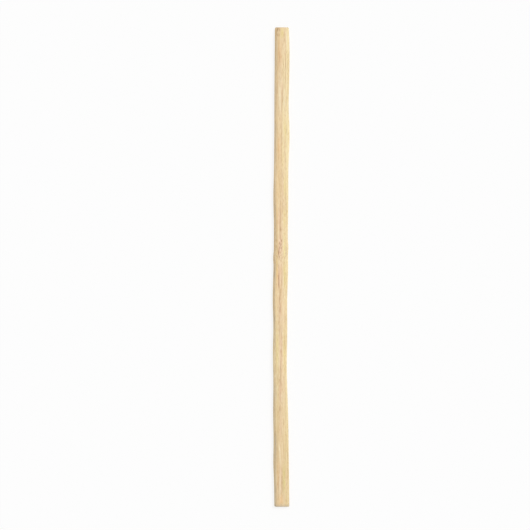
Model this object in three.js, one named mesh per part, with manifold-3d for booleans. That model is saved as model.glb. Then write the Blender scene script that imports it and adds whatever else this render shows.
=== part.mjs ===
// A bamboo drink stirrer: one strip split out of a culm wall, planed on both faces, sawn square at
// both ends and tumbled until its edges are round. It lies flat on its planed underside.
// Sizes are in millimetres. X runs across the strip, Y along it, and Z is up from the underside.
import * as THREE from "three";
import { ConvexGeometry } from "three/addons/geometries/ConvexGeometry.js";
import { mergeVertices } from "three/addons/utils/BufferGeometryUtils.js";
import Module from "manifold-3d";

// The strip
const LENGTH = 178;
const WIDTH = 5.5;
const THICKNESS = 1.8;
const CROWN = 0.08; // fall of the upper face from its middle to its edges

// What tumbling has worn off
const END_EASE = 0.38; // radius round each sawn end
const UNDER_ARRIS = 0.45; // radius of the two lower edges
const RIGHT_ARRIS = 0.5; // radius of the upper right edge
const LEFT_ARRIS_DROP = 0.6; // height of the bevel worn along the upper left edge

// Where the edges wander from a straight strip: [share of the length, millimetres towards +X]
const LEFT_EDGE = [
  [0, 0.24], [0.05, 0.1], [0.09, -0.16], [0.135, -0.07], [0.2, -0.22], [0.26, -0.14], [0.32, -0.32],
  [0.38, -0.14], [0.43, -0.38], [0.5, -0.1], [0.58, 0.08], [0.645, -0.14], [0.7, 0.06], [0.77, 0.2],
  [0.88, 0.27], [1, 0.44],
];
const RIGHT_EDGE = [
  [0, 0.34], [0.09, 0.15], [0.18, -0.05], [0.285, -0.58], [0.365, -0.42], [0.43, -0.46], [0.49, -0.15],
  [0.57, -0.22], [0.64, -0.03], [0.7, -0.02], [0.775, 0.44], [0.835, 0.11], [0.885, 0.28], [0.95, 0.43],
  [1, 0.14],
];
// Breadth of the bevel along the upper left edge: [share of the length, millimetres]
const LEFT_BEVEL = [
  [0, 0.55], [0.05, 0.6], [0.1, 1.4], [0.17, 1.35], [0.22, 0.7], [0.36, 0.65], [0.45, 1.05],
  [0.6, 1.1], [0.68, 0.65], [1, 0.75],
];

// The node of the culm, a low ridge that crosses the strip aslant with a scar beside it
const NODE_FROM_END = 94.5;
const NODE_SLANT = 4; // further along at the right edge than at the left
const NODE_BREADTH = 3.2;
const NODE_RIDGE = 0.12;
const NODE_SCAR = 0.05; // depth of the scar
const NODE_SWELL = 0.2; // how far each edge bulges there

// The splinter lost from the upper left corner at the far end, as the reach of the break from the
// corner that was there
const CHIP_BREADTH = 1.4;
const CHIP_LENGTH = 4.8;
const CHIP_DEPTH = 1.15;

// How finely the loft is cut
const BODY_STEP = 2;
const NODE_STEP = 0.7;
const EASE_STEPS = 4;
const ARRIS_STEPS = 5;
const CROWN_STEPS = 8;

// An edge is never rounded by more than this share of the wall that it is on.
const MOST_OF_WALL = 0.45;

// The curve through [share of the length, value] pairs, as a function of the share.
function alongLength(pairs) {
  const shares = pairs.map(([share]) => share);
  const values = pairs.map(([, value]) => value);
  const curve = new THREE.CubicInterpolant(shares, values, 1, new Float32Array(1));
  return (share) => curve.evaluate(THREE.MathUtils.clamp(share, 0, 1))[0];
}

const leftWander = alongLength(LEFT_EDGE);
const rightWander = alongLength(RIGHT_EDGE);
const leftBevel = alongLength(LEFT_BEVEL);

// A bump of height 1 at 0 that has died away at 1 and -1.
const bump = (x) => (1 + Math.cos(Math.PI * THREE.MathUtils.clamp(x, -1, 1))) / 2;

// How far along the ridge lies at x, and how high the upper face stands there over the plain strip.
const nodeAt = (x) => NODE_FROM_END + (NODE_SLANT * x) / WIDTH;
function nodeRise(x, y) {
  const along = (y - nodeAt(x)) / NODE_BREADTH;
  return NODE_RIDGE * bump(along) - NODE_SCAR * bump(along + 1);
}

function topAt(x, y, middle) {
  const across = (x - middle) / (WIDTH / 2);
  return THICKNESS - CROWN * across * across + nodeRise(x, y);
}

// The two edges of the strip at y, before the ends are eased.
function edgesAt(y) {
  const swell = (x) => NODE_SWELL * bump((y - nodeAt(x)) / NODE_BREADTH);
  const left = -WIDTH / 2 + leftWander(y / LENGTH) - swell(-WIDTH / 2);
  const right = WIDTH / 2 + rightWander(y / LENGTH) + swell(WIDTH / 2);
  return { left, right };
}

// A quarter of an ellipse from one angle to the next, in degrees, about a centre in the section.
function quarter(centreX, centreZ, radiusX, radiusZ, from) {
  return Array.from({ length: ARRIS_STEPS + 1 }, (_, k) => {
    const angle = THREE.MathUtils.degToRad(from + (90 * k) / ARRIS_STEPS);
    return [centreX + radiusX * Math.cos(angle), centreZ + radiusZ * Math.sin(angle)];
  });
}

// The section at y as a ring of points, drawn in by inset all round where the ends are eased.
function ring({ y, inset }) {
  const edges = edgesAt(y);
  const left = edges.left + inset;
  const right = edges.right - inset;
  const middle = (left + right) / 2;
  const shrink = 1 - (2 * inset) / THICKNESS;
  const worn = (radius, wall) => Math.min(radius, wall * MOST_OF_WALL) * shrink;

  const underRadius = worn(UNDER_ARRIS, THICKNESS);
  const rightRadius = worn(RIGHT_ARRIS, THICKNESS);
  const bevelBreadth = worn(leftBevel(y / LENGTH), WIDTH);
  const bevelDrop = worn(LEFT_ARRIS_DROP, THICKNESS);

  const crownFrom = right - rightRadius;
  const crownTo = left + bevelBreadth;
  const top = (x) => topAt(x, y, middle) - inset;
  const crown = Array.from({ length: CROWN_STEPS - 1 }, (_, k) => {
    const x = THREE.MathUtils.lerp(crownFrom, crownTo, (k + 1) / CROWN_STEPS);
    return [x, top(x)];
  });

  return [
    ...quarter(left + underRadius, inset + underRadius, underRadius, underRadius, 180),
    ...quarter(right - underRadius, inset + underRadius, underRadius, underRadius, 270),
    ...quarter(crownFrom, top(crownFrom) - rightRadius, rightRadius, rightRadius, 0),
    ...crown,
    ...quarter(crownTo, top(crownTo) - bevelDrop, bevelBreadth, bevelDrop, 90),
  ].map(([x, z]) => new THREE.Vector3(x, y, z));
}

// Where the rings stand: close together round each eased end and over the node.
function stations() {
  const easing = Array.from({ length: EASE_STEPS + 1 }, (_, k) => {
    const angle = THREE.MathUtils.degToRad(90 * (1 - k / EASE_STEPS));
    return { y: END_EASE * (1 - Math.sin(angle)), inset: END_EASE * (1 - Math.cos(angle)) };
  });
  const body = [];
  const nodeReach = 2 * NODE_BREADTH + NODE_SLANT / 2;
  const stepAt = (y) => (Math.abs(y - NODE_FROM_END) < nodeReach ? NODE_STEP : BODY_STEP);
  const last = LENGTH - END_EASE;
  for (let y = END_EASE + stepAt(0); y < last - stepAt(y) / 2; y += stepAt(y)) {
    body.push({ y, inset: 0 });
  }
  const farEasing = easing.map(({ y, inset }) => ({ y: LENGTH - y, inset })).reverse();
  return [...easing, ...body, ...farEasing];
}

// One closed skin through rings that all have the same number of points.
function loft(rings) {
  const count = rings[0].length;
  const faces = [];
  for (let i = 0; i + 1 < rings.length; i++) {
    for (let j = 0; j < count; j++) {
      const next = (j + 1) % count;
      const [a, b] = [i * count + j, i * count + next];
      const [c, d] = [a + count, b + count];
      faces.push(a, c, b, b, c, d);
    }
  }
  const cap = (points) => THREE.ShapeUtils.triangulateShape(points.map((p) => new THREE.Vector2(p.x, p.z)), []);
  const far = (rings.length - 1) * count;
  cap(rings[0]).forEach(([a, b, c]) => faces.push(a, b, c));
  cap(rings.at(-1)).forEach(([a, b, c]) => faces.push(far + a, far + c, far + b));
  return new THREE.BufferGeometry().setFromPoints(rings.flat()).setIndex(faces);
}

// What takes the splinter off: a tetrahedron whose slanting face is the break.
function chipCutter() {
  const clear = 1; // how far it stands out past the strip
  const corner = new THREE.Vector3(edgesAt(LENGTH).left, LENGTH, THICKNESS);
  const apex = corner.clone().add(new THREE.Vector3(-clear, clear, clear));
  const reach = 1 + clear / CHIP_BREADTH + clear / CHIP_LENGTH + clear / CHIP_DEPTH;
  return new ConvexGeometry([
    apex,
    apex.clone().add(new THREE.Vector3(CHIP_BREADTH * reach, 0, 0)),
    apex.clone().add(new THREE.Vector3(0, -CHIP_LENGTH * reach, 0)),
    apex.clone().add(new THREE.Vector3(0, 0, -CHIP_DEPTH * reach)),
  ]);
}

const wasm = await Module();
wasm.setup();

function toSolid(geometry) {
  const bare = geometry.clone();
  bare.deleteAttribute("normal");
  bare.deleteAttribute("uv");
  const { attributes, index } = mergeVertices(bare);
  const vertProperties = new Float32Array(attributes.position.array);
  const triVerts = new Uint32Array(index.array);
  return new wasm.Manifold(new wasm.Mesh({ numProp: 3, vertProperties, triVerts }));
}

function toGeometry(solid) {
  const { vertProperties, triVerts } = solid.getMesh();
  const geometry = new THREE.BufferGeometry()
    .setAttribute("position", new THREE.BufferAttribute(new Float32Array(vertProperties), 3))
    .setIndex(new THREE.BufferAttribute(triVerts, 1));
  geometry.computeVertexNormals();
  return geometry;
}

// Puts the middle of the strip's footprint at the origin and leaves its underside at Z 0.
function centredOnFootprint(geometry) {
  geometry.computeBoundingBox();
  const middle = geometry.boundingBox.getCenter(new THREE.Vector3());
  return geometry.translate(-middle.x, -middle.y, 0);
}

function makeStirrer() {
  const strip = toSolid(loft(stations().map(ring)));
  const whole = toGeometry(strip.subtract(toSolid(chipCutter())));
  const bamboo = new THREE.MeshStandardMaterial({ color: 0xe8cfa6, roughness: 0.62, metalness: 0 });
  const stirrer = new THREE.Mesh(centredOnFootprint(whole), bamboo);
  stirrer.name = "stirrer";
  return stirrer;
}

const part = new THREE.Group();
part.add(makeStirrer());

export default part;
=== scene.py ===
import math

import bmesh
import bpy
import numpy as np
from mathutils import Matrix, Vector, noise
from mathutils.bvhtree import BVHTree


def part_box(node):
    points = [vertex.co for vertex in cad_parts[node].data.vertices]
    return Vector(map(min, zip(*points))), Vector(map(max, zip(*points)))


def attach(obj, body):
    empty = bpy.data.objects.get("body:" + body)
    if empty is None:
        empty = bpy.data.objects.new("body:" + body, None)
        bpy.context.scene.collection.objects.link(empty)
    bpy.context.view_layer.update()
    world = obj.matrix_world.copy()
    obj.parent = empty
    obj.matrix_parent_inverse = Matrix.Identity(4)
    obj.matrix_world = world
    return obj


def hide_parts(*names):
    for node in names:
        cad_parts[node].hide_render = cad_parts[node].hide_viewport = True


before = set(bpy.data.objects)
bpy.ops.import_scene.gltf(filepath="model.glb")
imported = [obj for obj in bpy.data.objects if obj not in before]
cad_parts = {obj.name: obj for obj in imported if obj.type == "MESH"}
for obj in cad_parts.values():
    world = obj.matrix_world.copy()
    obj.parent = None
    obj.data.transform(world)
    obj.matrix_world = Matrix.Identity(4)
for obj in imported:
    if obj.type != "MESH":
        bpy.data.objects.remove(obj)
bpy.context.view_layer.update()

NODE = "stirrer"
MM = 0.001

# The strip, from the frame
LOW, HIGH = (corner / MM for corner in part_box(NODE))
LENGTH = HIGH.y - LOW.y
MID_HEIGHT = 0.9  # height of the middle of its section

# The skin: how finely the strip is cut round its section, along its length and over its ends
ARRIS = 0.5  # radius of the arris that the points round a section are set out on
STEPS_TOP = 70
STEPS_SIDE = 12
STEPS_ARRIS = 12
STEP_ALONG = 0.56
STEP_FINE = 0.26  # the step at the ends and over the culm node
FINE_AT_ENDS = 4.5
END_EASE = 0.38  # radius round each sawn end, as the solid has it
EASE_STEPS = 6
CAP_STEPS = 6
SMOOTH_ROUND = 3  # times that it is smoothed each way
SMOOTH_ALONG = 3
WELD = 0.001  # points of the ends' middle lines that are closer than this become one

# The culm node, as the solid has it
CULM_NODE = 94.5 - LENGTH / 2
CULM_SLANT = 0.72  # further along for each millimetre across
CULM_REACH = 5.5  # how far to each side the grain is disturbed
CULM_CORE = 1.0  # within this it is disturbed fully

# The relief of the bare bamboo, as depths below the solid's surface
FIBRE_DEPTH = 0.012
FLUTE_DEPTH = 0.02
TORN_DEPTH = 0.03
NODE_DEPTH = 0.05
SAWN_DEPTH = 0.03
BREAK_DEPTH = 0.07
DEEPER_AT_SIDES = 0.8  # how much more the fibres stand out on the split sides
# The noise that each relief follows: (size across, size along, seed)
FIBRES = (0.2, 11, 0)
FLUTES = (1.1, 30, 5.3)
TORN_FIBRES = (0.7, 24, 6.6)
NODE_KNOTS = (0.45, 1.3, 9.1)
SAWN_PITS = (0.16, 4, 2.7)
BREAK_RIDGES = (0.16, 2.5, 7.9)
RAGGED_BAND = (0.6, 12, 4.4)
RAGGED_MARKS = (0.3, 2.2, 3.1)
# Between which values of its noise a relief goes from nothing to full
TORN_FROM = (0.03, 0.14)
PITS_FROM = (-0.1, 0.6)
# And between which its hollows do
FIBRE_HOLLOW_FROM = (0.1, 0.55)
NODE_HOLLOW_FROM = (0.1, 0.5)
SAWN_HOLLOW_FROM = (0, 0.5)
BREAK_HOLLOW_FROM = (-0.1, 0.5)
# How dark the hollows of each relief are
FIBRE_HOLLOW = 0.35
NODE_HOLLOW = 0.5
SAWN_HOLLOW = 0.8
BREAK_HOLLOW = 0.6
VESSEL_HOLLOW = 0.6
BREAK_STAIN = 0.1

# The grooves of opened vessels
VESSELS = 700
VESSEL_LENGTHS = (0.8, 6)
VESSEL_BREADTHS = (0.1, 0.2)
VESSEL_DEPTHS = (0.012, 0.04)
VESSEL_LEANS = (-0.02, 0.02)
SEED = 17

# Which faces count as what, by a part of their outward way: (where it starts, where it is full)
END_GRAIN_FACING = (0.5, 0.95)
UPWARD_FACING = (0.1, 0.6)
SIDE_FACING = (0.6, 0.95)
TORN_FACING = (0.25, 0.7)
BREAK_FACING_FAR = (0.06, 0.14)
BREAK_FACING_LEFT = (0.25, 0.5)
BREAK_REACH = (5, 4)  # from the far end

# Painted shade: (where it has faded, where it is full), in from the left or the near end
SHADE_BAND = (1.5, 0.5)
SHADE_BAND_STARTS = (0, 0.4)
SHADE_BAND_WANDERS = 0.5
SHADE_BAND_SHOWS = 0.95
SHADE_BAND_VARIES = 0.6
SHADE_RIM = (1.4, 0.3)
SHADE_RIM_WANDERS = 0.4
# The arris of the near end, which takes painted shade and a paler tint, by its outward way as above
RIM_FACING_NEAR = (0.1, 0.6)
RIM_FACING_UP = (0, 0.4)
RIM_SHADE = 0.5
RIM_PALER = 0.3

# How much of a mark's strength shows, and how much that varies over the mark
MARKS_SHOW = 0.75
MARKS_VARY = 0.7
MARKS_SHOW_AT_MOST = 1.3

# What this strip shows on its upper face. Each mark in the lists below is (across from the middle,
# along from the near end, length, breadth, lean across over its length, strength, depth).
# Stains: dark where their strength is above 0 and pale where it is below 0
VEIN = [
    (-0.3, 104, 26, 0.42, 0.1, 0.4, 0.008),
    (-0.4, 74, 34, 0.42, 0.1, 0.4, 0.008),
    (-0.2, 46, 30, 0.4, -0.1, 0.4, 0.008),
    (-0.7, 84.5, 12, 0.8, 0, 0.16, 0),
    (-0.2, 108.5, 3, 0.26, 0, 0.5, 0.02),
    (-0.15, 103.2, 2.6, 0.28, 0.1, 0.7, 0.03),
    (-0.95, 83.8, 7, 0.34, 0.1, 1.1, 0.04),
    (0.25, 83.4, 5, 0.3, 0, 0.7, 0.04),
    (-0.3, 84, 7, 0.3, 0, -0.9, 0),
    (0.85, 83.5, 8, 0.35, 0, -0.5, 0),
    (-1.6, 82.5, 8, 0.3, 0, -0.4, 0),
    (-0.5, 77, 2.4, 0.26, 0, 0.3, 0.02),
    (-0.4, 73.6, 2, 0.26, 0, 0.3, 0.02),
    (-0.3, 70, 6, 0.3, 0, -0.5, 0),
    (-0.25, 57.6, 2.4, 0.28, 0, 0.6, 0.03),
    (-0.3, 51.5, 2.4, 0.28, 0, 0.3, 0.03),
    (-0.35, 48.4, 1.6, 0.26, 0, 0.5, 0.02),
    (-0.4, 45.6, 3, 0.32, 0, 0.6, 0.03),
    (0.3, 40.5, 7, 0.35, 0, -0.6, 0),
    (-0.5, 36.4, 2.8, 0.34, 0.1, 0.7, 0.04),
]
NODE_DASHES = [
    (-0.35, 96.5, 12, 1.1, 0.2, 0.18, 0),
    (0.1, 98.8, 1.4, 0.3, 0.1, 1, 0.05),
    (-0.6, 97.7, 1.3, 0.3, 0.15, 0.8, 0.05),
    (0, 97.3, 1.5, 0.3, 0.1, 0.8, 0.04),
    (-0.75, 96.1, 1.4, 0.32, 0.15, 1, 0.05),
    (0.1, 96, 1.3, 0.3, 0, 1, 0.04),
    (-0.95, 94.5, 2.4, 0.36, 0.2, 1.2, 0.05),
    (-0.6, 92.7, 1.4, 0.3, 0.1, 0.6, 0.03),
    (0.95, 96.3, 1.6, 0.26, -0.1, 0.6, 0.04),
    (1.85, 95.7, 1.6, 0.26, 0, 0.5, 0.03),
    (1.8, 94, 1.4, 0.28, 0, 0.6, 0.03),
    (-1.85, 98.9, 1.4, 0.28, 0, 0.5, 0.03),
    (-1.85, 96.6, 1.4, 0.28, 0, 0.5, 0.03),
    (-0.3, 95.2, 1.4, 0.28, 0, -0.9, 0),
    (-0.3, 93, 2.4, 0.3, 0, -0.9, 0),
    (-0.55, 98.9, 1, 0.28, 0, -0.9, 0),
    (0.95, 97.2, 9, 0.4, 0, -0.7, 0),
]
FAR_END = [
    (-1.35, 177, 1.6, 0.35, 0, 0.6, 0.04),
    (-0.6, 177, 1.8, 0.42, 0, 0.8, 0.05),
    (-1.2, 175.1, 1.6, 0.48, 0.1, 1, 0.05),
    (1.2, 174.5, 5, 0.3, 0, 0.9, 0.03),
    (2, 174, 7, 0.4, 0, -0.8, 0),
    (1.3, 168.5, 8, 0.26, 0, 0.3, 0.02),
    (-0.64, 166.5, 8, 0.42, 0, 0.5, 0.02),
    (-0.7, 159.5, 7, 0.4, 0, 0.35, 0.01),
    (0.66, 155.5, 6, 0.4, 0, 0.25, 0),
    (0.35, 150.5, 9, 0.34, 0.1, 0.75, 0.01),
    (2, 151.5, 8, 0.35, 0, 0.4, 0.01),
    (-1.5, 154.5, 9, 0.3, 0, 0.3, 0),
    (-0.45, 151, 11, 0.4, -0.3, -1, 0),
    (1.1, 153, 16, 0.4, 0, -1, 0),
]
NEAR_END = [
    (-0.5, 20, 11, 0.36, -0.95, -0.9, 0),
    (-0.45, 8, 13, 0.4, 0, -0.7, 0),
    (0.45, 10, 14, 0.45, 0.1, 0.35, 0),
    (-1.2, 8, 16, 0.35, 0, 0.3, 0),
    (1.75, 2.3, 1.1, 0.5, 0, 0.5, 0.03),
]
STAINS = VEIN + NODE_DASHES + FAR_END + NEAR_END
# Where the face is scuffed dull; the marks near the left edge are painted shade
SCUFFS_AND_SHADE = [
    (-1.3, 166, 14, 0.9, 0, 0.3, 0),
    (-2.2, 112, 26, 0.9, 0.5, 0.2, 0.006),
    (-2.55, 87, 7, 0.9, 0, 0.8, 0.02),
    (-2.5, 69.5, 8, 0.5, 0, 0.8, 0.02),
    (-2.1, 43, 7, 0.9, 0, 0.4, 0.01),
    (-1.9, 22, 13, 1.1, 0.1, 0.75, 0.01),
    (-2.3, 5, 11, 0.36, 0.12, 0.95, 0.05),
    (-1.05, 6.3, 8, 0.26, 0, 0.6, 0.03),
    (0.8, 10, 13, 0.8, 0, 0.5, 0),
]
# Where the straw leans to amber
AMBERS = [
    (-0.6, 168, 12, 1.4, 0, 1, 0),
    (-0.9, 133.5, 11, 1, 0, 0.9, 0),
    (-1.2, 107, 12, 0.8, 0, 0.5, 0),
    (-1.3, 85, 10, 0.9, 0, 1.2, 0),
    (-0.4, 43, 8, 0.9, 0, 0.4, 0),
    (-1.1, 11, 13, 0.7, 0, 0.6, 0),
    (0, 2.8, 4.4, 1.2, 0, 1.2, 0),
]
# Where it leans to pink, with a strength above 0, or to yellow, with one below 0
TINTS = [
    (-0.7, 107, 9, 0.9, 0.1, 0.9, 0),
    (-0.45, 96.5, 10, 1.1, 0, 1.3, 0),
    (-0.45, 85.5, 11, 1.1, 0, 1.2, 0),
    (-0.3, 72, 16, 0.7, 0, 0.9, 0),
    (-0.2, 58, 18, 0.8, 0, 1.1, 0),
    (-0.2, 43, 10, 0.8, 0, 0.8, 0),
    (-0.2, 30, 9, 0.9, 0, 0.5, 0),
    (0.5, 155, 9, 0.7, 0, 0.6, 0),
    (-0.3, 10, 13, 0.8, 0, 1.1, 0),
    (2.1, 10, 11, 0.5, 0, 0.6, 0),
    (0.3, 175.8, 5, 1.3, 0, -1, 0),
    (1.4, 140, 9, 0.8, 0, -0.7, 0),
    (1.4, 119, 11, 0.8, 0, -0.7, 0),
    (1.2, 107, 9, 0.8, 0, -0.9, 0),
    (1.1, 97, 12, 0.8, 0, -1, 0),
    (1.3, 86, 12, 0.9, 0, -1, 0),
    (-1.6, 88, 20, 0.6, 0, -0.5, 0),
    (1.1, 58, 22, 0.8, 0, -0.8, 0),
    (-1.4, 58, 18, 0.7, 0, -0.7, 0),
    (1, 10.5, 13, 0.9, 0, -1.4, 0),
    (0.6, 130, 14, 1, 0, -0.4, 0),
]

# Colours, as a picture of them shows them
CREAM_SHOWN = (250, 235, 200)
YELLOW_STRAW_SHOWN = (245, 226, 177)
PINK_STRAW_SHOWN = (242, 215, 175)
ORANGE_STRAW_SHOWN = (238, 207, 157)
KHAKI_STRAW_SHOWN = (235, 212, 163)
TAN_SHOWN = (205, 172, 121)
BROWN_SHOWN = (142, 100, 62)
ROSY_BROWN_SHOWN = (156, 104, 72)
# The grey of scuffs and of painted shade
DULL_AND_SHADE_SHOWN = (173, 161, 142)
# What the tints do to each channel of the straw
AMBER_TINT = (1.03, 0.91, 0.82, 1)
PINK_TINT = (1.0, 0.9, 1.02, 1)
YELLOW_TINT = (0.98, 1.03, 0.74, 1)

# The figures of the grain's colour: how many to a millimetre across and along
DRIFT_FIGURE = (0.22, 0.018)
SWIRL_FIGURE = (0.8, 0.45)
BUNDLE_FIGURE = (2.0, 0.012)
FIBRE_FIGURE = (7.0, 0.03)
FINE_FIGURE = (14.0, 0.22)
FLECK_FIGURE = (3.4, 0.75)
STREAK_FIGURE = (2.0, 0.035)
WIDE_FIGURE = (0.8, 0.02)
PORE_FIGURE = (4.5, 0.1)
PORE_EDGE_FIGURE = (9.0, 1.4)
STRAND_FIGURE = (6.0, 0.3)
# How far the grain wanders, and how far it swirls at the culm node
DRIFT_REACH = (1.6, 0, 1.6)
SWIRL_REACH = (2.6, 6.0, 2.6)
# How far a dot reaches in its cell: (where it is full, where it has faded)
BUNDLE_REACH = (0.16, 0.3)
FIBRE_REACH = (0.2, 0.42)
PORE_REACH = (0.04, 0.17)
PORE_PICKED = (0.45, 0.9)  # which cells have a pore, by their random share
PORE_RAGGED = 0.5
# How far its noise has to be from the middle for a figure to show fully
STREAK_REACH = 0.22
FINE_REACH = 0.25
FLECK_REACH = 0.2
FLECK_STILL = 0.02  # and how far for it to show at all

# The straw turns from khaki or orange at the left, through pink, to yellow at the right
STRAW_TURNS = 0.26  # for each millimetre across
STRAW_VARIES = 1.2
STRAW_STARTS = -0.1
KHAKI_TO_ORANGE = (-32, -10)  # along, from the culm node
# Where the ends are darker: (where it has faded, where it is full)
MUTED_NEAR_REACH = (60, 14)  # from the near end
MUTED_FAR_REACH = (60, 20)  # from the far end
MUTED_FAR_ACROSS = (1.2, -0.6)

# How strongly each thing shows in the colour
BUNDLE_SHOWS = 0.45
BUNDLE_SHOWS_AT_END = 0.47  # this much more
FIBRE_SHOWS = 0.32
STREAK_SHOWS = 0.46
FINE_SHOWS = 0.36
FLECK_SHOWS = 0.48
PORE_SHOWS = 0.62
WEAR_AND_SHADE_SHOWS = 0.4
STAIN_SHOWS = 0.66
HOLLOW_SHOWS = 0.3
END_GRAIN_SHOWS = 0.25
MUTED_NEAR_END = 0.3
MUTED_FAR_END = 0.2
TINT_SHOWS = 0.88
# How much the strands of the grain weaken and strengthen a stain and the scuffs and painted shade, and
# between which values of their noise
STRAND_FROM = (0.32, 0.68)
STAIN_BY_STRAND = (0.3, 1.7)
WEAR_AND_SHADE_BY_STRAND = (0.65, 1.35)

# The finish
ROUGHNESS = (0.52, 0.68)
ROUGH_FROM = (0.2, 0.8)  # values of the fine grain
SPECULAR = 0.35
BUMP_DEPTH = 0.02
BUMP_STRENGTH = 0.5

# The bake's sheet: the skin is cut across into equal lengths that lie side by side
BAKE_BANDS = 3
BAKE_GAP = 0.5
BAKE_SPARE = 1  # kept clear above the ends

# The camera: its view is as wide as the photograph, and the strip lies in it where it does there
PICTURE = 530
MM_PER_PIXEL = 0.371
STRIP_MIDDLE_AT = (281.2, 267.05)
LENS = 150
SENSOR = 36

# Light: together the lamp and the world light the upper face at 1, so a colour shows as it is written
WORLD_LIGHT = 0.62
LAMP_FROM = (0.5, 0.4, 0.77)
LAMP_SOFTNESS = 24
GROUND = 0.982
GROUND_KEEPS_SHADOW = 0.2
GROUND_REACH = 6000
GROUND_BELOW = 0.02


def smoothstep(low, high, x):
    """0 below low, 1 above high and a smooth rise between them."""
    t = np.clip((x - low) / (high - low), 0, 1)
    return t * t * (3 - 2 * t)


class Skin:
    """A fine closed skin over the solid, as a grid of points: a row goes round a section, a column runs
    along the grain. The first and the last row lie on the line along the middle of a sawn end."""

    def __init__(self, solid):
        mesh = solid.data
        corners = [v.co / MM for v in mesh.vertices]
        self.tree = BVHTree.FromPolygons(corners, [tuple(p.vertices) for p in mesh.polygons])
        body = self.body_rows()
        near, far = self.cap_rows(body[0], -1), self.cap_rows(body[-1], 1)
        self.near_rows, self.far_rows = len(near), len(far)
        self.places = np.concatenate([near[::-1], body, far])

    def hit(self, start, way):
        """Where the solid's surface lies from start, or start itself where it doesn't lie that way."""
        place = self.tree.ray_cast(Vector(start), Vector(way))[0]
        return place if place is not None else Vector(start)

    def outline(self, left, right):
        """Where each line of grain starts inside the section, and which way it lies from there."""
        starts, ways = [], []

        def flat(a, b, way, steps):
            for k in range(steps):
                starts.append(np.array(a) + (np.array(b) - np.array(a)) * k / steps)
                ways.append(way)

        def arris(centre, first):
            for k in range(STEPS_ARRIS):
                angle = math.radians(first + 90 * k / STEPS_ARRIS)
                starts.append(np.array(centre))
                ways.append((math.cos(angle), math.sin(angle)))

        low, high = ARRIS, 2 * MID_HEIGHT - ARRIS
        a, b = left + ARRIS, right - ARRIS
        flat((a, low), (b, low), (0, -1), STEPS_TOP)
        arris((b, low), 270)
        flat((b, low), (b, high), (1, 0), STEPS_SIDE)
        arris((b, high), 0)
        flat((b, high), (a, high), (0, 1), STEPS_TOP)
        arris((a, high), 90)
        flat((a, high), (a, low), (-1, 0), STEPS_SIDE)
        arris((a, low), 180)
        return starts, ways

    def stations(self):
        """Where the rows stand: closer together near the ends and over the culm node."""
        first, last = LOW.y + END_EASE, HIGH.y - END_EASE
        rows = [first]
        while rows[-1] < last:
            y = rows[-1]
            from_end = min(y - LOW.y, HIGH.y - y)
            fine = from_end < FINE_AT_ENDS or abs(y - CULM_NODE) < CULM_REACH
            rows.append(y + (STEP_FINE if fine else STEP_ALONG))
        rows[-1] = last
        return rows

    def body_rows(self):
        """The rows between the eased ends, smoothed."""
        places = []
        for y in self.stations():
            left = self.hit((0, y, MID_HEIGHT), (-1, 0, 0)).x
            right = self.hit((0, y, MID_HEIGHT), (1, 0, 0)).x
            starts, ways = self.outline(left, right)
            places.append([self.hit((x, y, z), (dx, 0, dz)) for (x, z), (dx, dz) in zip(starts, ways)])
        places = np.array(places, float)
        for _ in range(SMOOTH_ROUND):
            places = (np.roll(places, 1, 1) + 2 * places + np.roll(places, -1, 1)) / 4
        for _ in range(SMOOTH_ALONG):
            inner = (places[:-2] + 2 * places[1:-1] + places[2:]) / 4
            inner[:, :, 1] = places[1:-1, :, 1]
            places[1:-1] = inner
        return places

    def cap_rows(self, rim, way):
        """The rows that close an end, from the last section in to the line along its middle."""
        left, right = rim[:, 0].min() + MID_HEIGHT, rim[:, 0].max() - MID_HEIGHT
        middle = np.stack([np.clip(rim[:, 0], left, right), rim[:, 1], np.full(len(rim), MID_HEIGHT)], 1)
        angles = np.linspace(0, math.pi / 2, EASE_STEPS + 1)[1:]
        insets = [END_EASE * (1 - math.cos(angle)) for angle in angles]
        insets += list(np.linspace(END_EASE, MID_HEIGHT, CAP_STEPS + 1)[1:])
        rows = []
        for inset in insets:
            ring = rim + (middle - rim) * inset / MID_HEIGHT
            rows.append([self.hit(place, (0, way, 0)) for place in ring])
        rows = np.array(rows, float)
        opposite = (STEPS_TOP + 2 * STEPS_ARRIS + STEPS_SIDE + STEPS_TOP - np.arange(len(rim))) % len(rim)
        rows[-1] = (rows[-1] + rows[-1][opposite]) / 2
        return rows

    def round_section(self):
        """How far each point is round its section, in a row one longer than the section."""
        steps = np.linalg.norm(np.roll(self.places, -1, 1) - self.places, axis=2)
        return np.concatenate([np.zeros((len(steps), 1)), np.cumsum(steps, 1)], 1)

    def outward(self):
        """The way out of the skin at each point."""
        across = np.roll(self.places, -1, 1) - np.roll(self.places, 1, 1)
        along = np.gradient(self.places, axis=0)
        way = np.cross(along, across)
        way[0], way[-1] = (0, -1, 0), (0, 1, 0)
        return way / np.maximum(np.linalg.norm(way, axis=2, keepdims=True), 1e-9)


def streaks(places, across, along, seed):
    """Perlin noise drawn out along the grain: a value from about -1 to 1 for each place."""
    scaled = places.reshape(-1, 3) / (across, along, across) + seed
    return np.array([noise.noise(Vector(p)) for p in scaled]).reshape(places.shape[:-1])


def hump(x):
    """1 at 0 and smoothly down to 0 at 1 and -1."""
    return (1 + np.cos(np.pi * np.clip(x, -1, 1))) / 2


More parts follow.
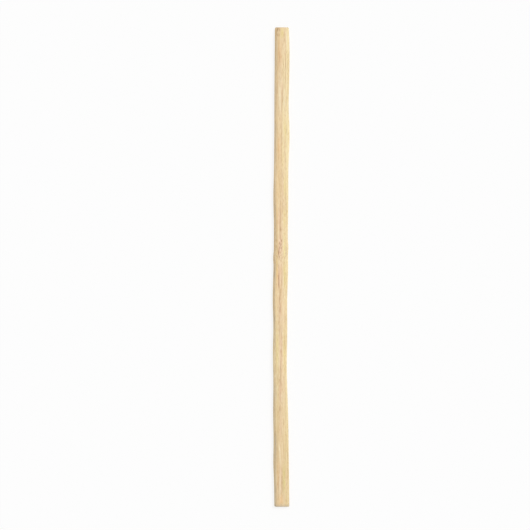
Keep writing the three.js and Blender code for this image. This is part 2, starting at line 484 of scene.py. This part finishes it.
class Surface:
    """The relief and the marks of the bamboo, with painted shade, at each point of the skin."""

    def __init__(self, skin):
        self.places = skin.places
        self.outward = skin.outward()
        self.round = skin.round_section()[:, :-1]
        self.x, self.y, _ = np.moveaxis(self.places, 2, 0)
        self.out_right, self.out_far, self.out_up = np.moveaxis(self.outward, 2, 0)
        self.end_grain = smoothstep(*END_GRAIN_FACING, abs(self.out_far))
        self.long_grain = 1 - self.end_grain
        self.upward = smoothstep(*UPWARD_FACING, self.out_up)
        self.broken = self.find_break()
        self.depth = np.zeros(self.x.shape)
        self.stain = np.zeros(self.x.shape)
        self.hollow = np.zeros(self.x.shape)
        self.wear_and_shade = np.zeros(self.x.shape)
        self.tint = np.zeros(self.x.shape)
        self.amber = np.zeros(self.x.shape)

    def find_break(self):
        """1 on the face that the splinter left, which alone slants towards the left and the far end."""
        slant = -self.out_right * smoothstep(*BREAK_FACING_FAR, self.out_far)
        from_end, fully = BREAK_REACH
        at_far_end = smoothstep(HIGH.y - from_end, HIGH.y - fully, self.y)
        return smoothstep(*BREAK_FACING_LEFT, slant) * at_far_end * self.long_grain

    def grain(self):
        """Fibres and flutes everywhere but on the ends, and torn fibres on the split sides."""
        fibres = streaks(self.places, *FIBRES)
        flutes = streaks(self.places, *FLUTES)
        torn = smoothstep(*TORN_FROM, streaks(self.places, *TORN_FIBRES))
        sides = 1 + DEEPER_AT_SIDES * smoothstep(*SIDE_FACING, abs(self.out_right))
        self.depth += FIBRE_DEPTH * sides * self.long_grain * (1 + fibres) / 2
        self.depth += FLUTE_DEPTH * self.long_grain * (1 + flutes) / 2
        self.depth += TORN_DEPTH * torn * self.long_grain * smoothstep(*TORN_FACING, abs(self.out_right))
        self.hollow += FIBRE_HOLLOW * self.long_grain * smoothstep(*FIBRE_HOLLOW_FROM, fibres)

    def culm_node(self):
        """The knotted grain over the culm node."""
        over = hump((self.y - CULM_NODE - CULM_SLANT * self.x) / CULM_REACH)
        knots = streaks(self.places, *NODE_KNOTS)
        self.depth += NODE_DEPTH * over * (1 + knots) / 2
        self.hollow += NODE_HOLLOW * over * smoothstep(*NODE_HOLLOW_FROM, knots)

    def ends(self):
        """The pits of the sawn ends and the ridges of the break."""
        pits = streaks(self.places, *SAWN_PITS)
        self.depth += SAWN_DEPTH * self.end_grain * smoothstep(*PITS_FROM, pits)
        self.hollow += SAWN_HOLLOW * self.end_grain * smoothstep(*SAWN_HOLLOW_FROM, pits)
        ridges = streaks(self.places, *BREAK_RIDGES)
        self.depth += BREAK_DEPTH * self.broken * (1 + ridges) / 2
        self.stain += BREAK_STAIN * self.broken
        self.hollow += BREAK_HOLLOW * self.broken * smoothstep(*BREAK_HOLLOW_FROM, ridges)

    def painted_edge_shade(self):
        """Painted shade: a band along the upper left edge and, greyed and paler, the rim of the near end.
        """
        from_left = self.x - self.x.min(1, keepdims=True)
        ragged = streaks(self.places, *RAGGED_BAND)
        band = smoothstep(*SHADE_BAND, from_left + SHADE_BAND_WANDERS * ragged)
        band = band * smoothstep(*SHADE_BAND_STARTS, from_left)
        shows = SHADE_BAND_SHOWS + SHADE_BAND_VARIES * ragged
        # The band along the upper left edge is painted shade.
        self.wear_and_shade += band * self.upward * (1 - self.broken) * shows
        # Painted shade on the near end's arris and rim, made greyer by a paler tint.
        arris = smoothstep(*RIM_FACING_NEAR, -self.out_far) * smoothstep(*RIM_FACING_UP, self.out_up)
        self.wear_and_shade += RIM_SHADE * arris
        self.stain -= RIM_PALER * arris
        faded, full = SHADE_RIM
        along = self.y + SHADE_RIM_WANDERS * ragged
        self.wear_and_shade += self.upward * smoothstep(LOW.y + faded, LOW.y + full, along)

    def vessels(self):
        """Short grooves where the plane or the split has opened a vessel of the bamboo."""
        dice = np.random.default_rng(SEED)
        rows = self.y.mean(1)
        girth = self.round.max()
        for _ in range(VESSELS):
            along, length = dice.uniform(LOW.y, HIGH.y), dice.uniform(*VESSEL_LENGTHS)
            at, breadth = dice.uniform(0, girth), dice.uniform(*VESSEL_BREADTHS)
            deep, lean = dice.uniform(*VESSEL_DEPTHS), dice.uniform(*VESSEL_LEANS)
            first, last = np.searchsorted(rows, (along - length / 2, along + length / 2))
            part = np.s_[first:last]
            off = self.round[part] - at - lean * (self.y[part] - along)
            groove = hump(off / breadth) * hump((self.y[part] - along) * 2 / length) ** 0.5
            groove = groove * self.long_grain[part]
            self.depth[part] += deep * groove
            self.hollow[part] += VESSEL_HOLLOW * groove

    def marks(self):
        """The marks from the lists, each in its own layer."""
        ragged = MARKS_SHOW + MARKS_VARY * streaks(self.places, *RAGGED_MARKS)
        ragged = np.clip(ragged, 0, MARKS_SHOW_AT_MOST)
        layers = ((STAINS, self.stain), (SCUFFS_AND_SHADE, self.wear_and_shade), (AMBERS, self.amber), (TINTS, self.tint))
        for marks, layer in layers:
            for across, along, length, breadth, lean, strength, deep in marks:
                share = (self.y - LOW.y - along) / length
                off = self.x - across - lean * share
                shape = hump(off / breadth) * hump(share * 2) ** 0.5 * self.upward * ragged
                layer += strength * shape
                self.depth += deep * shape

    def carve(self):
        """The skin's points, sunk by all of the relief."""
        for layer in (self.grain, self.culm_node, self.ends, self.painted_edge_shade, self.vessels, self.marks):
            layer()
        return self.places - self.outward * self.depth[:, :, None]


def bake_sheet(skin, count):
    """Where each corner of each face lies on the bake's sheet, from 0 to 1."""
    rows = len(skin.places)
    y = skin.places[:, :, 1]
    body = np.arange(skin.near_rows, rows - skin.far_rows)
    round_section = skin.round_section()
    girth = round_section[body].max()
    cut = LENGTH / BAKE_BANDS
    tall = cut + 3 * BAKE_GAP + 2 * MID_HEIGHT + BAKE_SPARE
    wide = BAKE_BANDS * (girth + BAKE_GAP)
    sheet = np.zeros((rows - 1, count, 4, 2))
    for i in range(rows - 1):
        columns = np.arange(count)
        corners = ((i, columns), (i + 1, columns), (i + 1, columns + 1), (i, columns + 1))
        capped = i < skin.near_rows or i + 1 >= rows - skin.far_rows
        middle = (y[i].mean() + y[i + 1].mean()) / 2
        band = min(int((middle - LOW.y) / cut), BAKE_BANDS - 1)
        for k, (row, column) in enumerate(corners):
            if capped:
                place = skin.places[row, column % count]
                across = place[:, 0] - LOW.x if i < rows / 2 else wide / 2 + HIGH.x - place[:, 0]
                sheet[i, :, k, 0] = BAKE_GAP + across
                sheet[i, :, k, 1] = cut + 2 * BAKE_GAP + place[:, 2]
            else:
                sheet[i, :, k, 0] = girth - round_section[row, column] + band * (girth + BAKE_GAP)
                sheet[i, :, k, 1] = y[row, column % count] - LOW.y - band * cut + BAKE_GAP
    return sheet / (wide, tall)


def make_strip(solid):
    """The strip as one closed mesh, with its marks and painted shade as attributes and its place on the
    bake's sheet.
    """
    skin = Skin(solid)
    surface = Surface(skin)
    places = surface.carve()
    rows, count = places.shape[:2]
    i, j = np.meshgrid(np.arange(rows - 1), np.arange(count), indexing="ij")
    after = (j + 1) % count
    faces = np.stack([i * count + j, (i + 1) * count + j, (i + 1) * count + after, i * count + after], 2)

    mesh = bpy.data.meshes.new("bamboo_strip")
    mesh.from_pydata((places.reshape(-1, 3) * MM).tolist(), [], faces.reshape(-1, 4).tolist())
    mesh.uv_layers.new(name="OFBake").data.foreach_set("uv", bake_sheet(skin, count).ravel())
    for name in ("stain", "hollow", "wear_and_shade", "amber", "tint", "end_grain"):
        values = getattr(surface, name).ravel()
        mesh.attributes.new(name, "FLOAT", "POINT").data.foreach_set("value", values)

    form = bmesh.new()
    form.from_mesh(mesh)
    form.verts.ensure_lookup_table()
    middles = [form.verts[k] for k in range(count)] + [form.verts[-1 - k] for k in range(count)]
    bmesh.ops.remove_doubles(form, verts=middles, dist=WELD * MM)
    form.to_mesh(mesh)
    form.free()
    mesh.shade_smooth()
    strip = bpy.data.objects.new("bamboo_strip", mesh)
    bpy.context.scene.collection.objects.link(strip)
    return strip


def linear(shown):
    """A light colour as a shader takes it, from the 0 to 255 values that a picture of it shows."""
    return (*(((value / 255 + 0.055) / 1.055) ** 2.4 for value in shown), 1)


CREAM = linear(CREAM_SHOWN)
YELLOW_STRAW = linear(YELLOW_STRAW_SHOWN)
PINK_STRAW = linear(PINK_STRAW_SHOWN)
ORANGE_STRAW = linear(ORANGE_STRAW_SHOWN)
KHAKI_STRAW = linear(KHAKI_STRAW_SHOWN)
TAN = linear(TAN_SHOWN)
BROWN = linear(BROWN_SHOWN)
ROSY_BROWN = linear(ROSY_BROWN_SHOWN)
DULL_AND_SHADE = linear(DULL_AND_SHADE_SHOWN)


class Nodes:
    """Short calls for the nodes that the materials and the world are made of."""

    def __init__(self, owner, output="ShaderNodeOutputMaterial"):
        owner.use_nodes = True
        self.tree = owner.node_tree
        self.tree.nodes.clear()
        self.output = self.add(output)

    def add(self, kind, inputs=None, **settings):
        node = self.tree.nodes.new(kind)
        for name, value in settings.items():
            setattr(node, name, value)
        for name, value in (inputs or {}).items():
            self.give(node.inputs[name], value)
        return node

    def give(self, socket, value):
        if isinstance(value, bpy.types.NodeSocket):
            self.tree.links.new(value, socket)
        else:
            socket.default_value = value

    def math(self, operation, *values, clamp=False):
        node = self.add("ShaderNodeMath", operation=operation, use_clamp=clamp)
        for socket, value in zip(node.inputs, values):
            self.give(socket, value)
        return node.outputs[0]

    def vector(self, operation, *values):
        node = self.add("ShaderNodeVectorMath", operation=operation)
        for socket, value in zip(node.inputs, values):
            self.give(socket, value)
        return node.outputs[0]

    def ramp(self, value, low, high, to_low=0.0, to_high=1.0):
        """value from low to high, turned smoothly into to_low to to_high."""
        node = self.add("ShaderNodeMapRange", interpolation_type="SMOOTHSTEP")
        for socket, given in zip(node.inputs, (value, low, high, to_low, to_high)):
            self.give(socket, given)
        return node.outputs[0]

    def mix(self, share, first, second, blend="MIX"):
        # The node has sockets for every kind of data. Those of colours are 6 and 7, and 2 of what it gives.
        node = self.add("ShaderNodeMix", data_type="RGBA", blend_type=blend)
        self.give(node.inputs[0], share)
        self.give(node.inputs[6], first)
        self.give(node.inputs[7], second)
        return node.outputs[2]

    def figure(self, vector, figure):
        """vector at a scale at which a millimetre holds so many figures across and along."""
        across, along = figure
        return self.vector("MULTIPLY", vector, (across, along, across))

    def noise(self, vector, figure, detail=2.0):
        """Noise at vector, as a value and as a colour."""
        inputs = {"Vector": self.figure(vector, figure), "Scale": 1.0, "Detail": detail}
        node = self.add("ShaderNodeTexNoise", inputs)
        return node.outputs[0], node.outputs[1]

    def cells(self, vector, figure):
        """How far vector is from the middle of its cell, and the cell's own random colour."""
        node = self.add("ShaderNodeTexVoronoi", {"Vector": self.figure(vector, figure), "Scale": 1.0})
        return node.outputs["Distance"], node.outputs["Color"]

    def wander(self, vector, figure, reach):
        """A way to move vector by, different from place to place and up to half of reach."""
        _, colour = self.noise(vector, figure)
        return self.vector("MULTIPLY", self.vector("SUBTRACT", colour, (0.5,) * 3), reach)

    def varied(self, value, reach, shows, colour, still=0.0):
        """colour made more like tan where value is over its middle, and like cream where it is under."""
        over, under = 0.5 + still, 0.5 - still
        colour = self.mix(self.ramp(value, over, over + reach, 0.0, shows), colour, TAN)
        return self.mix(self.ramp(value, under, under - reach, 0.0, shows), colour, CREAM)

    def attribute(self, name):
        return self.add("ShaderNodeAttribute", attribute_name=name).outputs["Fac"]

    def seen(self):
        """1 for the rays that show what lies behind the object, and 0 for those that light it."""
        rays = self.add("ShaderNodeLightPath").outputs
        direct = self.math("MAXIMUM", rays["Is Camera Ray"], rays["Is Glossy Ray"])
        return self.math("MAXIMUM", direct, rays["Is Transmission Ray"])

    def finish(self, shader):
        self.give(self.output.inputs["Surface"], shader)


def bamboo():
    """Bare planed bamboo: solid in the strip, so that the grain runs along it and ends as dots."""
    material = bpy.data.materials.new("bamboo")
    n = Nodes(material)
    object_place = n.add("ShaderNodeTexCoord").outputs["Object"]
    place = n.vector("MULTIPLY", object_place, (1 / MM,) * 3)
    parts = n.add("ShaderNodeSeparateXYZ", {"Vector": place})
    x, y = parts.outputs["X"], parts.outputs["Y"]
    end_grain = n.attribute("end_grain")

    # The grain wanders a little all along the strip and swirls at the culm node.
    node_middle = n.math("MULTIPLY_ADD", x, CULM_SLANT, CULM_NODE)
    from_node = n.math("ABSOLUTE", n.math("SUBTRACT", y, node_middle))
    at_node = n.ramp(from_node, CULM_CORE, CULM_REACH, 1.0, 0.0)
    drift = n.wander(place, DRIFT_FIGURE, DRIFT_REACH)
    swirl = n.wander(place, SWIRL_FIGURE, SWIRL_REACH)
    swirl = n.add("ShaderNodeVectorMath", {"Vector": swirl, "Scale": at_node}, operation="SCALE").outputs[0]
    grain = n.vector("ADD", n.vector("ADD", place, drift), swirl)

    # What the grain is made of
    bundle_at, _ = n.cells(grain, BUNDLE_FIGURE)
    bundle = n.ramp(bundle_at, *BUNDLE_REACH, 1.0, 0.0)
    fibre_at, _ = n.cells(grain, FIBRE_FIGURE)
    fibre = n.ramp(fibre_at, *FIBRE_REACH, 1.0, 0.0)
    fine, _ = n.noise(grain, FINE_FIGURE, detail=4.0)
    fleck, _ = n.noise(grain, FLECK_FIGURE, detail=3.0)
    streak, _ = n.noise(grain, STREAK_FIGURE)
    wide, _ = n.noise(grain, WIDE_FIGURE)
    strands, _ = n.noise(grain, STRAND_FIGURE, detail=3.0)
    pore_at, pore_colour = n.cells(grain, PORE_FIGURE)
    pore_share = n.add("ShaderNodeSeparateColor", {"Color": pore_colour}).outputs[0]
    ragged, _ = n.noise(place, PORE_EDGE_FIGURE)
    pore_edge = n.math("MULTIPLY_ADD", ragged, PORE_RAGGED, n.math("SUBTRACT", pore_at, PORE_RAGGED / 2))
    pore = n.math("MULTIPLY", n.ramp(pore_edge, *PORE_REACH, 1.0, 0.0), n.ramp(pore_share, *PORE_PICKED))

    # The straw and its grain
    side = n.math("MULTIPLY_ADD", wide, STRAW_VARIES, n.math("MULTIPLY_ADD", x, STRAW_TURNS, STRAW_STARTS))
    khaki_until, orange_from = (CULM_NODE + place for place in KHAKI_TO_ORANGE)
    left_straw = n.mix(n.ramp(y, khaki_until, orange_from), KHAKI_STRAW, ORANGE_STRAW)
    colour = n.mix(n.ramp(side, 0.0, 0.5), left_straw, PINK_STRAW)
    colour = n.mix(n.ramp(side, 0.5, 1.0), colour, YELLOW_STRAW)
    colour = n.varied(streak, STREAK_REACH, STREAK_SHOWS, colour)
    bundle_shows = n.math("MULTIPLY_ADD", end_grain, BUNDLE_SHOWS_AT_END, BUNDLE_SHOWS)
    colour = n.mix(n.math("MULTIPLY", bundle, bundle_shows), colour, TAN)
    colour = n.mix(n.math("MULTIPLY", fibre, FIBRE_SHOWS), colour, TAN)
    colour = n.varied(fine, FINE_REACH, FINE_SHOWS, colour)
    colour = n.varied(fleck, FLECK_REACH, FLECK_SHOWS, colour, FLECK_STILL)
    colour = n.mix(n.math("MULTIPLY", pore, PORE_SHOWS), colour, BROWN)

    # The ends are a little darker, the far one on its left side alone.
    faded, full = MUTED_NEAR_REACH
    near_end = n.ramp(y, LOW.y + faded, LOW.y + full, 0.0, MUTED_NEAR_END)
    colour = n.mix(near_end, colour, TAN)
    faded, full = MUTED_FAR_REACH
    far_end = n.ramp(y, HIGH.y - faded, HIGH.y - full, 0.0, MUTED_FAR_END)
    colour = n.mix(n.math("MULTIPLY", far_end, n.ramp(x, *MUTED_FAR_ACROSS)), colour, TAN)

    # Its tints, its scuffs with painted shade, and its stains
    amber = n.math("MULTIPLY", n.attribute("amber"), TINT_SHOWS, clamp=True)
    pink = n.math("MULTIPLY", n.attribute("tint"), TINT_SHOWS, clamp=True)
    yellow = n.math("MULTIPLY", n.attribute("tint"), -TINT_SHOWS, clamp=True)
    for share, tint in ((amber, AMBER_TINT), (pink, PINK_TINT), (yellow, YELLOW_TINT)):
        colour = n.mix(share, colour, tint, blend="MULTIPLY")
    stain_here = n.ramp(strands, *STRAND_FROM, *STAIN_BY_STRAND)
    wear_and_shade_here = n.ramp(strands, *STRAND_FROM, *WEAR_AND_SHADE_BY_STRAND)
    stain = n.math("MULTIPLY", n.attribute("stain"), stain_here)
    wear_and_shade = n.math("MULTIPLY", n.attribute("wear_and_shade"), wear_and_shade_here)
    # Scuffs and painted shade, in grey
    colour = n.mix(n.math("MULTIPLY", wear_and_shade, WEAR_AND_SHADE_SHOWS, clamp=True), colour, DULL_AND_SHADE)
    colour = n.mix(n.math("MULTIPLY", stain, STAIN_SHOWS, clamp=True), colour, ROSY_BROWN)
    colour = n.mix(n.math("MULTIPLY", stain, -1.0, clamp=True), colour, CREAM)
    colour = n.mix(n.math("MULTIPLY", n.attribute("hollow"), HOLLOW_SHOWS, clamp=True), colour, BROWN)
    colour = n.mix(n.math("MULTIPLY", end_grain, END_GRAIN_SHOWS), colour, BROWN)

    height = n.math("MULTIPLY_ADD", fibre, 0.5, n.math("MULTIPLY", fine, 0.5))
    relief = {"Strength": BUMP_STRENGTH, "Distance": BUMP_DEPTH * MM, "Height": height}
    finish = {
        "Base Color": colour,
        "Roughness": n.ramp(fine, *ROUGH_FROM, *ROUGHNESS),
        "Normal": n.add("ShaderNodeBump", relief).outputs[0],
        "Specular IOR Level": SPECULAR,
    }
    n.finish(n.add("ShaderNodeBsdfPrincipled", finish).outputs[0])
    return material


def ground_look():
    """White paper: it shows white by itself, and keeps a part of the shadow that falls on it."""
    material = bpy.data.materials.new("ground")
    n = Nodes(material)
    lit = n.add("ShaderNodeBsdfDiffuse", {"Color": (GROUND, GROUND, GROUND, 1)})
    white = n.add("ShaderNodeEmission", {"Color": (GROUND, GROUND, GROUND, 1), "Strength": 1.0})
    share = n.math("MULTIPLY", n.seen(), 1 - GROUND_KEEPS_SHADOW)
    mixed = n.add("ShaderNodeMixShader", {0: share, 1: lit.outputs[0], 2: white.outputs[0]})
    n.finish(mixed.outputs[0])
    return material


def make_ground():
    """The ground, a hair below the strip's underside."""
    half = GROUND_REACH * MM / 2
    mesh = bpy.data.meshes.new("ground")
    low = -GROUND_BELOW * MM
    corners = [(-half, -half, low), (half, -half, low), (half, half, low), (-half, half, low)]
    mesh.from_pydata(corners, [], [(0, 1, 2, 3)])
    mesh.materials.append(ground_look())
    ground = bpy.data.objects.new("ground", mesh)
    bpy.context.scene.collection.objects.link(ground)


def make_world():
    """An even light from all round, which shows as white as the ground does."""
    world = bpy.data.worlds.new("studio")
    bpy.context.scene.world = world
    n = Nodes(world, "ShaderNodeOutputWorld")
    light = n.add("ShaderNodeBackground", {"Color": (1, 1, 1, 1), "Strength": WORLD_LIGHT})
    shown = n.add("ShaderNodeBackground", {"Color": (1, 1, 1, 1), "Strength": GROUND})
    mixed = n.add("ShaderNodeMixShader", {0: n.seen(), 1: light.outputs[0], 2: shown.outputs[0]})
    n.finish(mixed.outputs[0])


def make_lamp():
    """A soft lamp at the upper right. A sun of strength pi lights a face square to it at 1."""
    lamp = bpy.data.objects.new("lamp", bpy.data.lights.new("lamp", "SUN"))
    way = Vector(LAMP_FROM).normalized()
    lamp.data.energy = math.pi * (1 - WORLD_LIGHT) / way.z
    lamp.data.angle = math.radians(LAMP_SOFTNESS)
    lamp.rotation_euler = way.to_track_quat("Z", "Y").to_euler()
    bpy.context.scene.collection.objects.link(lamp)


def make_camera():
    """A camera straight above, which sees the strip where the photograph shows it."""
    camera = bpy.data.objects.new("camera", bpy.data.cameras.new("camera"))
    camera.data.lens = LENS
    camera.data.sensor_width = SENSOR
    across, down = STRIP_MIDDLE_AT
    away = PICTURE * MM_PER_PIXEL * LENS / SENSOR
    x = (PICTURE / 2 - across) * MM_PER_PIXEL
    y = (down - PICTURE / 2) * MM_PER_PIXEL
    camera.location = (x * MM, y * MM, (HIGH.z + away) * MM)
    bpy.context.scene.collection.objects.link(camera)
    bpy.context.scene.camera = camera


strip = make_strip(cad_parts[NODE])
strip.data.materials.append(bamboo())
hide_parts(NODE)
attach(strip, "root")
make_ground()
make_world()
make_lamp()
make_camera()
bpy.context.scene.view_settings.view_transform = "Standard"
